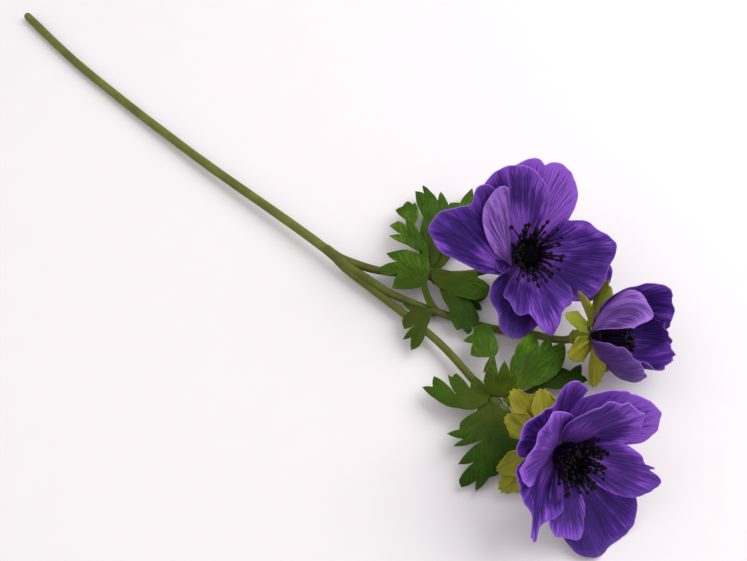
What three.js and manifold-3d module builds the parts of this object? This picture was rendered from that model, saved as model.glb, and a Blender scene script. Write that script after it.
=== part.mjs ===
// An anemone spray, lying down: a straight main stem that forks into three branches. Two branches end in
// open flowers, the third in a half-open one, and whorls of cut leaves sit on collars on the branches.
// Millimetres, +Z up. The main stem runs along +X, from its cut end to the fork, and the spray lies on z = 0.
import * as THREE from "three";
import Module from "manifold-3d";
import { mergeVertices } from "three/addons/utils/BufferGeometryUtils.js";

const wasm = await Module();
wasm.setup();

// ---- Driving dimensions ----
const STEM_RADIUS = 2.5;
const BRANCH_RADIUS = 1.9;
const TUBE_SIDES = 8;
const GAP = 0.35; // clearance between touching pieces
const PETAL_THICKNESS = 0.7;
const LEAF_THICKNESS = 0.7;
const BRACT_THICKNESS = 0.8;
const FILAMENT_RADIUS = 0.4;
const ANTHER_RADIUS = 0.95;

// ---- Small helpers ----
const rad = THREE.MathUtils.degToRad;
const point = (x, y, z) => new THREE.Vector3(x, y, z);
const mix = (a, b, t) => a + (b - a) * t;

// A frame on a flower or leaf: a centre, an axis that it faces along, the level direction to its right
// seen from the front, and the direction up across its face. Azimuths turn anticlockwise from the right.
function facing(centre, heading, elevation) {
  const h = rad(heading);
  const e = rad(elevation);
  const axis = point(Math.cos(e) * Math.cos(h), Math.cos(e) * Math.sin(h), Math.sin(e));
  const right = point(-Math.sin(h), Math.cos(h), 0);
  const up = axis.clone().cross(right);
  return { centre, axis, right, up };
}

// The point that lies that far out at an azimuth, and that high along the frame's axis.
function around(frame, azimuth, radius, height) {
  const a = rad(azimuth);
  return frame.centre
    .clone()
    .addScaledVector(frame.right, Math.cos(a) * radius)
    .addScaledVector(frame.up, Math.sin(a) * radius)
    .addScaledVector(frame.axis, height);
}

// ---- Solids ----

// A closed thin solid around the surface that place(u, s) gives on a grid of rows (u) and columns (s).
// With ring set, the last column joins the first.
function sheet(place, rows, columns, thickness, ring = false) {
  const step = 1e-3;
  const positions = [];
  const m = columns.length;
  for (const side of [1, -1]) {
    for (const u of rows) {
      for (const s of columns) {
        const alongU = place(u + step, s).sub(place(u - step, s));
        const alongS = place(u, s + step).sub(place(u, s - step));
        const normal = alongU.cross(alongS).normalize();
        const p = place(u, s).addScaledVector(normal, (side * thickness) / 2);
        positions.push(p.x, p.y, p.z);
      }
    }
  }
  const index = [];
  const back = rows.length * m;
  const at = (i, j) => i * m + (j % m);
  const rim = (a, b) => index.push(b, a, a + back, b, a + back, b + back);
  const spans = ring ? m : m - 1;
  for (let i = 0; i < rows.length - 1; i++) {
    for (let j = 0; j < spans; j++) {
      const [a, b, c, d] = [at(i, j), at(i + 1, j), at(i + 1, j + 1), at(i, j + 1)];
      index.push(a, b, c, a, c, d);
      index.push(c + back, b + back, a + back, d + back, c + back, a + back);
    }
    if (!ring) {
      rim(at(i, 0), at(i + 1, 0));
      rim(at(i + 1, m - 1), at(i, m - 1));
    }
  }
  for (let j = 0; j < spans; j++) {
    rim(at(rows.length - 1, j), at(rows.length - 1, j + 1));
    rim(at(0, j + 1), at(0, j));
  }
  const geometry = new THREE.BufferGeometry();
  geometry.setAttribute("position", new THREE.Float32BufferAttribute(positions, 3));
  geometry.setIndex(index);
  return geometry;
}

const smooth = (points) => new THREE.CatmullRomCurve3(points, false, "centripetal");

// A round rod along a curve.
function rod(curve, radius, steps, sides = TUBE_SIDES) {
  const outline = new THREE.Shape();
  outline.absarc(0, 0, radius, 0, 2 * Math.PI, false);
  return new THREE.ExtrudeGeometry(outline, {
    extrudePath: curve,
    steps,
    curveSegments: Math.ceil(sides / 2),
  });
}

// A turned solid on a frame's axis. The profile lists [radius, height] from the axis and back to it.
function turned(frame, profile, sides) {
  const outline = profile.map(([r, h]) => new THREE.Vector2(r, h));
  const geometry = new THREE.LatheGeometry(outline, sides);
  const basis = new THREE.Matrix4().makeBasis(frame.right, frame.axis, frame.up.clone().negate());
  return geometry.applyMatrix4(basis.setPosition(frame.centre));
}

function solidOf(geometry) {
  const bare = geometry.clone();
  for (const name of ["normal", "uv"]) bare.deleteAttribute(name);
  const merged = mergeVertices(bare, 1e-4);
  return new wasm.Manifold(
    new wasm.Mesh({
      numProp: 3,
      vertProperties: merged.attributes.position.array,
      triVerts: new Uint32Array(merged.index.array),
    }),
  );
}

function geometryOf(solid) {
  const mesh = solid.getMesh();
  const geometry = new THREE.BufferGeometry();
  geometry.setAttribute("position", new THREE.BufferAttribute(mesh.vertProperties, 3));
  geometry.setIndex(new THREE.BufferAttribute(mesh.triVerts, 1));
  return geometry;
}

// ---- Materials ----
const finish = (color, roughness) => new THREE.MeshStandardMaterial({ color, roughness, metalness: 0 });
const STEM_GREEN = finish(0x6b7d34, 0.6);
const LEAF_GREEN = finish(0x3f6b1f, 0.55);
const BRACT_GREEN = finish(0x8f9130, 0.6);
const VIOLET = finish(0x55259b, 0.7);
const BLACK = finish(0x120d18, 0.85);

const spray = new THREE.Group();

function add(name, geometry, material) {
  const mesh = new THREE.Mesh(geometry, material);
  mesh.name = name;
  spray.add(mesh);
}

// ---- Bent sheets ----

// Bends flat stock: x runs across the blade and y along its midrib, from the foot. The midrib leaves the
// base's axis by opens[0] degrees at the foot and opens[1] at the tip; cups bends the left and right halves
// towards the axis, in degrees over the half width; turn rolls the blade about its midrib, at the foot and at
// the tip; sway leans the tip sideways. Returns the place of a flat point.
function bent(base, { length, width, opens, cups = [0, 0], turn = [0, 0], sway = 0 }) {
  const side = base.axis.clone().cross(base.out);
  const [from, to] = opens.map(rad);
  const swing = Math.abs(to - from) < 1e-3 ? 1e-3 : to - from;
  return (x, y, lift = 0) => {
    const t = y / length;
    const angle = from + swing * t;
    const along = (length * (Math.sin(angle) - Math.sin(from))) / swing;
    const away = (length * (Math.cos(from) - Math.cos(angle))) / swing;
    const curve = rad(x > 0 ? cups[1] : cups[0]) / (width / 2) || 1e-6;
    const flat = Math.sin(x * curve) / curve;
    const rise = (1 - Math.cos(x * curve)) / curve + lift;
    const tilt = rad(mix(turn[0], turn[1], t));
    const across = flat * Math.cos(tilt) - rise * Math.sin(tilt) + sway * t * t;
    const inward = rise * Math.cos(tilt) + flat * Math.sin(tilt);
    return base.start
      .clone()
      .addScaledVector(base.out, away - inward * Math.cos(angle))
      .addScaledVector(base.axis, along + inward * Math.sin(angle))
      .addScaledVector(side, across);
  };
}

// The values between two neighbours of a list of number lists, at a fractional place in it.
function between(list, place) {
  const i = THREE.MathUtils.clamp(Math.floor(place), 0, list.length - 2);
  return list[i].map((value, k) => mix(value, list[i + 1][k], place - i));
}

// ---- Petals ----
const PETAL_ROWS = [0.04, 0.28, 0.52, 0.76, 1];
const PETAL_COLUMNS = [-0.97, -0.84, -0.6, -0.3, 0, 0.3, 0.6, 0.84, 0.97];
const OUTLINE_POWER = 2.6;
const OUTLINE_ROOT = 0.45;

// A petal is cut as a fan: u runs from its foot to its rim, and s across it. It leaves its flower at an
// azimuth, foot millimetres out and lift millimetres up the axis; wave ripples its rim, waves times.
function petal(frame, spec) {
  const { azimuth, length, spread, foot = 2.2, lift = 0, wave = 0, waves = 3, phase = 0 } = spec;
  const a = rad(azimuth);
  const out = frame.right.clone().multiplyScalar(Math.cos(a)).addScaledVector(frame.up, Math.sin(a));
  const half = rad(spread);
  const base = { start: around(frame, spec.at ?? azimuth, foot, lift), out, axis: frame.axis };
  const place = bent(base, { ...spec, width: 1.44 * length * Math.sin(half) });
  return (u, s) => {
    const reach = length * Math.max(1 - Math.abs(s) ** OUTLINE_POWER, 0.01) ** OUTLINE_ROOT;
    const ripple = wave * u ** 3 * Math.sin(waves * s * 3 + phase);
    return place(u * reach * Math.sin(s * half), u * reach * Math.cos(s * half), ripple);
  };
}

// ---- Flower heads ----
const OUTER = 0;
const INNER = 1.1;
const FLOWERS = {
  upper: {
    frame: facing(point(80, 57.5, 24), -43, 55),
    petals: {
      low_right: { azimuth: -34, length: 42, spread: 40, opens: [80, 84], cups: [10, 10], lift: OUTER },
      low_left: { azimuth: 259, length: 44, spread: 38, opens: [75, 74], cups: [14, 10], lift: OUTER },
      top_right: { azimuth: 77, length: 48, spread: 40, opens: [74, 68], cups: [12, 22], lift: OUTER },
      right: { azimuth: -7, length: 43, spread: 44, opens: [70, 66], cups: [15, 15], lift: INNER },
      top: { azimuth: 98, length: 49, spread: 42, opens: [64, 58], cups: [20, 15], lift: INNER },
      left: {
        azimuth: 147, at: 190, foot: 4.5, length: 53, spread: 50, opens: [58, 62], cups: [80, 10],
        lift: INNER,
      },
      bottom: { azimuth: 280, length: 38, spread: 44, opens: [61, 64], cups: [10, 15], lift: INNER },
    },
    stamens: { count: 21, reach: 16, height: 15, lean: 0, bias: 0.06 },
    bracts: [
      [20, 19, 80, 0], [80, 19, 80, 0], [140, 19, 84, 0], [200, 19, 84, 0], [260, 18, 80, 0],
      [320, 19, 80, 0],
    ],
  },
  lower: {
    frame: facing(point(154.6, -12.8, 20.8), -21, 41),
    petals: {
      high_left: { azimuth: 110, length: 44, spread: 41, opens: [63, 50], cups: [20, 20], lift: OUTER },
      far_right: { azimuth: 28, length: 46, spread: 40, opens: [61, 53], cups: [15, 15], lift: OUTER },
      low: { azimuth: 279, length: 47, spread: 44, opens: [66, 64], cups: [20, 20], lift: OUTER },
      low_left: { azimuth: 197, length: 41, spread: 44, opens: [59, 42], cups: [20, 20], lift: OUTER },
      inner_top: { azimuth: 52, length: 45, spread: 42, opens: [50, 40], cups: [25, 25], lift: INNER },
      right: { azimuth: 327, length: 42, spread: 38, opens: [56, 58], cups: [20, 20], lift: INNER },
      inner_low: { azimuth: 247, length: 37, spread: 31, opens: [52, 57], cups: [30, 20], lift: INNER },
      inner_left: { azimuth: 137, length: 39, spread: 41, opens: [51, 47], cups: [20, 20], lift: INNER },
    },
    stamens: { count: 21, reach: 13, height: 16, lean: 320, bias: 0.12 },
    bracts: [
      [30, 22, 95, 0], [82, 26, 98, 0], [128, 27, 101, 0], [186, 25, 96, 0], [225, 20, 90, 0],
      [305, 16, 86, 0],
    ],
  },
  small: {
    frame: facing(point(131, 46.6, 17.2), 35, 29),
    petals: {
      front: { azimuth: 68, length: 37, spread: 41, opens: [62, -12], cups: [40, 45], lift: OUTER },
      low: { azimuth: 176, length: 36, spread: 45, opens: [78, -4], cups: [42, 34], lift: OUTER },
      back: { azimuth: 300, length: 39, spread: 42, opens: [62, -6], cups: [30, 30], lift: OUTER },
      top: { azimuth: 351, length: 39, spread: 39, opens: [45, -12], cups: [36, 36], lift: INNER },
      back_low: { azimuth: 234, length: 38, spread: 38, opens: [44, -6], cups: [34, 34], lift: INNER },
    },
    stamens: { count: 14, reach: 7.8, height: 14, lean: 0, bias: 0 },
    hug: 8,
    bracts: [
      [5, 30, 76, 55], [45, 22, 98, 30], [92, 22, 114, 10], [140, 25, 112, 0], [188, 25, 92, -50],
      [215, 18, 70, -50], [290, 13, 86, 0],
    ],
  },
};

const PEG = 1.7;
const HUB = { radius: 4.8, height: 6 };
const CALYX = { radius: 5, height: 7.3, top: -0.75 };

// A cup under the petals, on the end of the branch.
const calyxProfile = [
  [0, CALYX.top - CALYX.height],
  [2.1, CALYX.top - CALYX.height],
  [2.6, CALYX.top - 0.7 * CALYX.height],
  [4.5, CALYX.top - 0.25 * CALYX.height],
  [CALYX.radius, CALYX.top],
  [0, CALYX.top],
];

// The domed middle of a flower.
const domeProfile = [
  [0, HUB.height + GAP],
  [4, HUB.height + GAP],
  [4.5, HUB.height + 2],
  [4, HUB.height + 4.2],
  [2.4, HUB.height + 5.6],
  [0, HUB.height + 6.1],
];

// A peg between the petals' feet, widening to a hub, with the stamens round it in three rings.
const hubProfile = [
  [0, CALYX.top + GAP],
  [PEG, CALYX.top + GAP],
  [PEG, 2.4],
  [HUB.radius, 5.4],
  [HUB.radius, HUB.height],
  [0, HUB.height],
];

function stamenCrown(frame, { count, reach, height, lean, bias }) {
  const parts = [solidOf(turned(frame, hubProfile, 12))];
  for (let k = 0; k < count; k++) {
    const azimuth = (360 / count) * k;
    const ring = 1 - 0.08 * (k % 3);
    const far = reach * ring * (1 + bias * Math.cos(rad(azimuth - lean)));
    const high = height + 0.8 * (k % 3);
    const line = [
      around(frame, azimuth, HUB.radius - 0.6, 5.5),
      around(frame, azimuth, mix(HUB.radius, far, 0.35) + 0.6, mix(5.5, high, 0.4)),
      around(frame, azimuth, far, high),
    ];
    parts.push(solidOf(rod(smooth(line), FILAMENT_RADIUS, 2, 4)));
    const anther = new THREE.IcosahedronGeometry(ANTHER_RADIUS, 0);
    parts.push(solidOf(anther.translate(...line[2].toArray())));
  }
  return geometryOf(wasm.Manifold.union(parts));
}

// One cut sheet of bracts, threaded on the branch. Each bract has an azimuth, a reach, the angle it leaves
// the axis by and the twist across it, and ends in three teeth. The sheet first hugs the calyx for hug
// millimetres.
const BRACT_TEETH = [[-0.5, 0.42], [-0.33, 0.88], [-0.17, 0.8], [0, 1], [0.17, 0.8], [0.33, 0.88]];
const BRACT_ROWS = [0, 0.35, 0.7, 1];
const BRACT_HOLE = 2.8;
const BRACT_BASE = -8.9;
const HUG_LEAN = rad(25);

function bractRuff(frame, bracts, hug = 0) {
  const outline = [];
  bracts.forEach(([azimuth, reach, opens, twist], i) => {
    const [before] = bracts[(i + bracts.length - 1) % bracts.length];
    const [after] = bracts[(i + 1) % bracts.length];
    const down = (azimuth - before + 360) % 360;
    const up = (after - azimuth + 360) % 360;
    for (const [part, height] of BRACT_TEETH) {
      outline.push([azimuth + part * (part < 0 ? down : up), reach * height, opens + twist * part]);
    }
  });
  outline.push([outline[0][0] + 360, ...outline[0].slice(1)]);
  const place = (u, s) => {
    const [azimuth, reach, opens] = between(outline, s);
    const length = u * (reach - BRACT_HOLE + 0.7 * hug);
    const near = Math.min(length, hug);
    const far = length - near;
    const angle = rad(hug ? opens : mix(90, opens, Math.min(1, 2 * u)));
    const r = BRACT_HOLE + near * Math.sin(HUG_LEAN) + far * Math.sin(angle);
    return around(frame, azimuth, r, BRACT_BASE + near * Math.cos(HUG_LEAN) + far * Math.cos(angle));
  };
  return sheet(place, BRACT_ROWS, [...outline.slice(1).keys()], BRACT_THICKNESS, true);
}

for (const [flower, { frame, petals, stamens, bracts, hug }] of Object.entries(FLOWERS)) {
  for (const [name, spec] of Object.entries(petals)) {
    const blade = sheet(petal(frame, spec), PETAL_ROWS, PETAL_COLUMNS, PETAL_THICKNESS);
    add(`${flower}_petal_${name}`, blade, VIOLET);
  }
  add(`${flower}_calyx`, turned(frame, calyxProfile, 16), STEM_GREEN);
  add(`${flower}_bracts`, bractRuff(frame, bracts, hug), BRACT_GREEN);
  add(`${flower}_stamens`, stamenCrown(frame, stamens), BLACK);
  add(`${flower}_centre`, turned(frame, domeProfile, 16), BLACK);
}

// ---- Stems ----
const MAIN_STEM = [
  point(-279, 0, 2.5), point(-225, -4, 2.6), point(-160, -4.8, 3.2), point(-90, -3.6, 4.6), point(-35, -1, 6),
  point(0, 0, 7),
];
const FORK = { length: 9, radius: 4.1 };
const behind = (flower, height) => around(FLOWERS[flower].frame, 0, 0, height);
const BRANCH_END = CALYX.top - CALYX.height - GAP;
const BRANCHES = {
  upper: {
    line: [
      point(10.7, 2.15, 5.9), point(27, 10.2, 6.5), point(46.7, 25.7, 6), point(65, 44, 7), point(72, 57, 10),
    ],
    collar: 2,
  },
  small: {
    line: [
      point(10.7, 0, 9.65), point(24, 1.6, 8.3), point(39.9, 3.6, 6.3), point(61.3, 10.8, 5),
      point(89, 24.5, 2.4), point(106, 35, 3.6),
    ],
    collar: 3,
  },
  lower: {
    line: [point(10.7, -2.15, 5.9), point(46.6, -0.6, 5.2), point(76.9, -1.2, 5.8), point(117, -9, 9.5)],
    collar: 3,
  },
};
add("main_stem", rod(smooth(MAIN_STEM), STEM_RADIUS, 16), STEM_GREEN);
const forkFrame = facing(MAIN_STEM.at(-1).clone().add(point(GAP, 0, 0)), 0, 0);
const forkProfile = [[0, 0], [STEM_RADIUS + 0.3, 0], [FORK.radius, FORK.length], [0, FORK.length]];
add("fork", turned(forkFrame, forkProfile, 16), STEM_GREEN);

// A sleeve on each branch, with the leaves round it.
const COLLAR = { bore: BRANCH_RADIUS + GAP, radius: 3.5, length: 6 };
const collars = {};
for (const [flower, { line, collar }] of Object.entries(BRANCHES)) {
  const points = [...line, behind(flower, BRANCH_END - 7), behind(flower, BRANCH_END)];
  const curve = smooth(points);
  add(`${flower}_branch`, rod(curve, BRANCH_RADIUS, 20), STEM_GREEN);
  const along = curve.getTangent(collar / (points.length - 1));
  const heading = THREE.MathUtils.radToDeg(Math.atan2(along.y, along.x));
  const frame = facing(points[collar], heading, THREE.MathUtils.radToDeg(Math.asin(along.z)));
  collars[flower] = frame;
  const wall = COLLAR.radius - COLLAR.bore;
  const place = (u, s) => around(frame, s, COLLAR.bore + wall / 2, (u - 0.5) * COLLAR.length);
  const turns = Array.from({ length: 12 }, (_, k) => 30 * k);
  add(`${flower}_collar`, sheet(place, [0, 1], turns, wall, true), STEM_GREEN);
}

// ---- Leaves ----
// Leaf outlines, as [degrees off the midrib, reach as a share of the blade's length].
const LOBED = [
  [-66, 0.3], [-50, 0.46], [-42, 0.67], [-35, 0.5], [-28, 0.7], [-21, 0.54], [-14, 0.8], [-8, 0.68],
  [-3, 1], [4, 0.86], [9, 0.98], [15, 0.84], [20, 0.76], [30, 0.5], [44, 0.26],
];
const TRIFID = [
  [-60, 0.34], [-44, 0.6], [-36, 0.5], [-24, 0.9], [-14, 0.66], [0, 1], [14, 0.64], [26, 0.84], [38, 0.48],
  [48, 0.56], [62, 0.32],
];
const BROAD = [
  [-58, 0.24], [-44, 0.66], [-30, 0.84], [-17, 0.98], [-9, 0.97], [-1, 0.84], [6, 1], [16, 0.88], [28, 0.8],
  [46, 0.42], [62, 0.24],
];
const COMB = [
  [-62, 0.26], [-40, 0.48], [-33, 0.36], [-29, 0.62], [-23, 0.44], [-19, 0.74], [-13, 0.56], [-10, 0.9],
  [-4, 0.76], [1, 1], [8, 0.74], [16, 0.5], [34, 0.28],
];
const TALON = [
  [-42, 0.24], [-16, 0.6], [-8, 0.5], [-2, 0.9], [4, 0.78], [11, 1], [21, 0.86], [36, 0.5], [56, 0.26],
];
const FEATHER = [
  [-34, 0.14], [-12, 0.38], [-7, 0.7], [-5, 0.84], [2, 1], [7, 0.92], [13, 0.96], [16, 0.72], [24, 0.78],
  [28, 0.66], [33, 0.72], [38, 0.3], [53, 0.54], [62, 0.42], [72, 0.54], [80, 0.4], [90, 0.46], [104, 0.2],
];
const SPEAR = [
  [-50, 0.14], [-25, 0.27], [-23, 0.56], [-13, 0.62], [-12, 0.84], [-7, 0.78], [-2, 1], [1, 0.77], [8, 0.74],
  [9, 0.55], [18, 0.48], [22, 0.28], [50, 0.12],
];
const STALK_END = 0.25;
const LEAF_ROWS = [0.12, STALK_END, 0.5, 0.75, 1];

// A leaf starts round the sleeve of a branch, at an angle from its level right side and some way along it,
// and heads off level; opens counts from straight up.
const LEAF_SEAT = COLLAR.radius + GAP + LEAF_THICKNESS / 2;

function leaf(spec) {
  const { on: [branch, round, along], heading, stalk = 0, blade, outline, foot = 3.4 } = spec;
  const start = around(collars[branch], round, LEAF_SEAT, along);
  const h = rad(heading);
  const base = { start, out: point(Math.cos(h), Math.sin(h), 0), axis: point(0, 0, 1) };
  const place = bent(base, { ...spec, length: stalk + blade, width: blade });
  const last = outline.length - 1;
  const spread = (u, s) => {
    const [angle, reach] = between(outline, s);
    const fan = (blade * reach * Math.max(0, u - STALK_END)) / (1 - STALK_END);
    const across = foot * (s / last - 0.5);
    const along = stalk * Math.min(1, u / STALK_END);
    return place(across + fan * Math.sin(rad(angle)), along + fan * Math.cos(rad(angle)));
  };
  const rows = stalk ? [0, ...LEAF_ROWS] : LEAF_ROWS.slice(1);
  return sheet(spread, rows, [...outline.keys()], LEAF_THICKNESS);
}

const LEAVES = {
  // round the sleeve of the lower flower's branch
  whorl_left: { on: ["lower", 115, -2.5], heading: 207, blade: 34, outline: COMB, opens: [92, 108] },
  whorl_upright: { on: ["lower", 60, 0], heading: 125, blade: 17, outline: TRIFID, opens: [25, 50] },
  whorl_down: {
    on: ["lower", 172, -1.5], heading: 296, blade: 42, outline: LOBED, opens: [88, 116], foot: 2.8,
  },
  whorl_dark: { on: ["lower", 225, 3], heading: 330, blade: 25, outline: TRIFID, opens: [96, 102] },
  whorl_up: {
    on: ["lower", 40, 4.5], heading: 98, stalk: 12, blade: 31, outline: BROAD, opens: [76, 104], foot: 4.5,
  },
  whorl_right: {
    on: ["lower", 0, 4.5], heading: 74, stalk: 20, blade: 17, outline: TRIFID, opens: [86, 100],
  },
  whorl_back: {
    on: ["lower", 45, -3], heading: 146, stalk: 19, blade: 17, outline: TRIFID, opens: [86, 98],
  },
  // round the sleeve of the small flower's branch
  fan_tall: { on: ["small", 90, 0], heading: 135, stalk: 14, blade: 51, outline: FEATHER, opens: [80, 95] },
  fan_hanging: {
    on: ["small", 140, -2.5], heading: 291, stalk: 4, blade: 28, outline: TALON, opens: [80, 116],
  },
  // round the sleeve of the upper flower's branch
  ring_tall: { on: ["upper", 30, -2], heading: 130, blade: 54, outline: TRIFID, opens: [86, 94] },
  ring_back: { on: ["upper", 10, 2.5], heading: 112, blade: 59, outline: SPEAR, opens: [86, 97] },
  ring_bright: { on: ["upper", 110, 1], heading: 31, blade: 34, outline: TRIFID, opens: [84, 94] },
  ring_hanging: {
    on: ["upper", 165, 2], heading: -14, stalk: 12, blade: 25, outline: TRIFID, opens: [72, 116],
    sway: -3,
  },
  ring_dark: { on: ["upper", 230, 2.5], heading: 8, stalk: 10, blade: 20, outline: TALON, opens: [90, 95] },
};
for (const [name, spec] of Object.entries(LEAVES)) {
  add(`leaf_${name}`, leaf(spec), LEAF_GREEN);
}

// The origin is at the middle of the spray's footprint, on the surface it lies on.
const extent = new THREE.Box3().setFromObject(spray);
const middle = extent.getCenter(point(0, 0, 0));
spray.position.set(-middle.x, -middle.y, -extent.min.z);

export default spray;
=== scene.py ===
"""An anemone spray lying on a pale table: a stem that forks to two open violet flowers and a half-open one,
with yellow-green bracts behind the flowers and whorls of cut leaves on the branches. Places are in
millimetres from the fork, as in the part's own source, and ORIGIN puts them where the frame has the fork."""
import math

import bpy
import numpy as np
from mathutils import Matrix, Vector
from mathutils.geometry import delaunay_2d_cdt


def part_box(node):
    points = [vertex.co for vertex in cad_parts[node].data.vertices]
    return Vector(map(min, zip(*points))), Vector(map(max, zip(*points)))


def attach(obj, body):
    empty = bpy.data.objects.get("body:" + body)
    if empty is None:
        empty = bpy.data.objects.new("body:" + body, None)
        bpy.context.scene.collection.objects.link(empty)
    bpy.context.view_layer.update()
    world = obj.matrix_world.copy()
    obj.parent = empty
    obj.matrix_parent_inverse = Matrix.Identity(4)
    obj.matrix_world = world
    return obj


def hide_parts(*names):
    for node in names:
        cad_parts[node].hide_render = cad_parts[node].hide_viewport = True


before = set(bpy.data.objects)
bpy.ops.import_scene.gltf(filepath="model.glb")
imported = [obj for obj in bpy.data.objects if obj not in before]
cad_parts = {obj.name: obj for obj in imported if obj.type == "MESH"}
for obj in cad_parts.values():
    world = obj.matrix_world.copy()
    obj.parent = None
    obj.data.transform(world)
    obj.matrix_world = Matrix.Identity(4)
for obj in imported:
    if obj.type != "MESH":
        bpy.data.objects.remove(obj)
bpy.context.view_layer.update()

MM = 0.001
STEM_RADIUS = 2.5
BRANCH_RADIUS = 1.9
GAP = 0.35
STEM_TOP = 7.0  # height of the main stem's axis at the fork

fork_low, fork_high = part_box("fork")
ORIGIN = np.array([
    fork_low.x - GAP * MM,
    (fork_low.y + fork_high.y) / 2,
    (fork_low.z + fork_high.z) / 2 - STEM_TOP * MM,
])


# ---- Small helpers ----
def smoothstep(low, high, x):
    t = np.clip((x - low) / (high - low), 0, 1)
    return t * t * (3 - 2 * t)


def mix(a, b, t):
    return a + (b - a) * t


def along(amount, direction):
    """That much of a direction, for each number of an array."""
    return np.multiply.outer(amount, direction)


def unit_vector(v):
    return v / np.linalg.norm(v)


def rolling(seed, x, y):
    """Gentle hills and hollows between -1 and 1, about one unit across."""
    heights = np.random.default_rng(seed).uniform(-1, 1, (24, 24))
    i, j = np.floor(x).astype(int), np.floor(y).astype(int)
    a, b = smoothstep(0, 1, x - i), smoothstep(0, 1, y - j)
    corner = lambda di, dj: heights[(i + di) % 24, (j + dj) % 24]
    return mix(mix(corner(0, 0), corner(1, 0), a), mix(corner(0, 1), corner(1, 1), a), b)


class Frame:
    """A centre, the axis that a flower or leaf faces along, the level direction to its right seen from the
    front, and the direction up across its face. Azimuths are degrees anticlockwise from the right."""

    def __init__(self, centre, heading, elevation):
        h, e = math.radians(heading), math.radians(elevation)
        self.centre = np.array(centre, float)
        self.axis = np.array([math.cos(e) * math.cos(h), math.cos(e) * math.sin(h), math.sin(e)])
        self.right = np.array([-math.sin(h), math.cos(h), 0.0])
        self.up = np.cross(self.axis, self.right)

    def outwards(self, azimuth):
        a = np.radians(azimuth)
        return along(np.cos(a), self.right) + along(np.sin(a), self.up)

    def around(self, azimuth, radius, height):
        """The point that far out at an azimuth and that high along the axis."""
        spread = self.outwards(azimuth) * np.asarray(radius, float)[..., None]
        return self.centre + spread + along(height, self.axis)


def travel(lean, step):
    """How far a line gets, ahead and aside, as its lean changes along it."""
    middle = (lean[1:] + lean[:-1]) / 2
    ahead = np.concatenate([[0], np.cumsum(np.cos(middle)) * step])
    aside = np.concatenate([[0], np.cumsum(np.sin(middle)) * step])
    return ahead, aside


class Bend:
    """Bends flat stock: x runs across the blade and y along its midrib, from the foot. The midrib leaves the
    axis by opens[0] degrees at the foot and opens[1] at the end of its length; tip adds a curl past
    tip_from. cups bends the left and right halves towards the axis, in degrees over the half width, and
    sway moves the end of the blade aside."""

    def __init__(self, start, axis, out, length, width, opens, cups=(0, 0), sway=0, tip=0, tip_from=0.7):
        self.start, self.axis, self.out, self.side = start, axis, out, np.cross(axis, out)
        self.length, self.half, self.sway = length, width / 2, sway
        self.steps = np.linspace(0, 1.6, 500)
        step = self.steps[1]
        lean = mix(opens[0], opens[1], self.steps) + tip * smoothstep(tip_from, 1.05, self.steps)
        self.angle = np.radians(lean)
        self.rises, self.leaves = travel(self.angle, step * length)
        self.halves = [travel(np.radians(cup * self.steps), step * self.half) for cup in cups]

    def __call__(self, x, y, lift=0.0):
        t = y / self.length
        angle, rises, leaves = (np.interp(t, self.steps, v) for v in (self.angle, self.rises, self.leaves))
        share = np.abs(x) / self.half
        left, right = [[np.interp(share, self.steps, v) for v in half] for half in self.halves]
        across = np.where(x > 0, right[0], -left[0]) + self.sway * t * t
        inward = np.where(x > 0, right[1], left[1]) + lift
        return (self.start + along(leaves - inward * np.cos(angle), self.out)
                + along(rises + inward * np.sin(angle), self.axis) + along(across, self.side))


def smooth_line(points, samples):
    """A centripetal curve through points, with that many samples in each span."""
    p = np.array(points, float)
    p = np.vstack([2 * p[0] - p[1], p, 2 * p[-1] - p[-2]])
    spans = []
    for a, b, c, d in zip(p, p[1:], p[2:], p[3:]):
        ab, bc, cd = (np.linalg.norm(v) ** 0.5 for v in (b - a, c - b, d - c))
        leave = ((b - a) / ab - (c - a) / (ab + bc) + (c - b) / bc) * bc
        reach = ((c - b) / bc - (d - b) / (bc + cd) + (d - c) / cd) * bc
        t = np.linspace(0, 1, samples, endpoint=False)[:, None]
        spans.append((2 * t**3 - 3 * t**2 + 1) * b + (t**3 - 2 * t**2 + t) * leave
                     + (3 * t**2 - 2 * t**3) * c + (t**3 - t**2) * reach)
    return np.vstack([*spans, p[-2:-1]])


# ---- Camera and lights ----
CAMERA_PLACE = np.array([191.2, -169.9, 372.0])  # in front of the flowers and above them
CAMERA_TILT, CAMERA_HEADING = 33, 43.28  # degrees from straight down, and about the vertical
CAMERA_LENS, CAMERA_SENSOR = 40.96, 36
FLOWERS_MIDDLE = Vector((0.11, 0.02, 0.0))  # from the fork, in metres


def place_camera():
    """Looks down on the spray from in front of its flowers."""
    turn = (math.radians(CAMERA_TILT), 0, math.radians(CAMERA_HEADING))
    bpy.ops.object.camera_add(location=ORIGIN + MM * CAMERA_PLACE, rotation=turn)
    camera = bpy.context.object
    camera.data.sensor_width = CAMERA_SENSOR
    camera.data.lens = CAMERA_LENS
    bpy.context.scene.camera = camera


def area_light(name, location, size, power, colour):
    """A soft square light that faces the middle of the flowers."""
    aim = Vector(ORIGIN) + FLOWERS_MIDDLE
    turn = (Vector(location) - aim).to_track_quat("Z", "Y").to_euler()
    bpy.ops.object.light_add(type="AREA", location=location, rotation=turn)
    light = bpy.context.object
    light.name = name
    light.data.size = size
    light.data.energy = power
    light.data.color = colour


place_camera()


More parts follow.
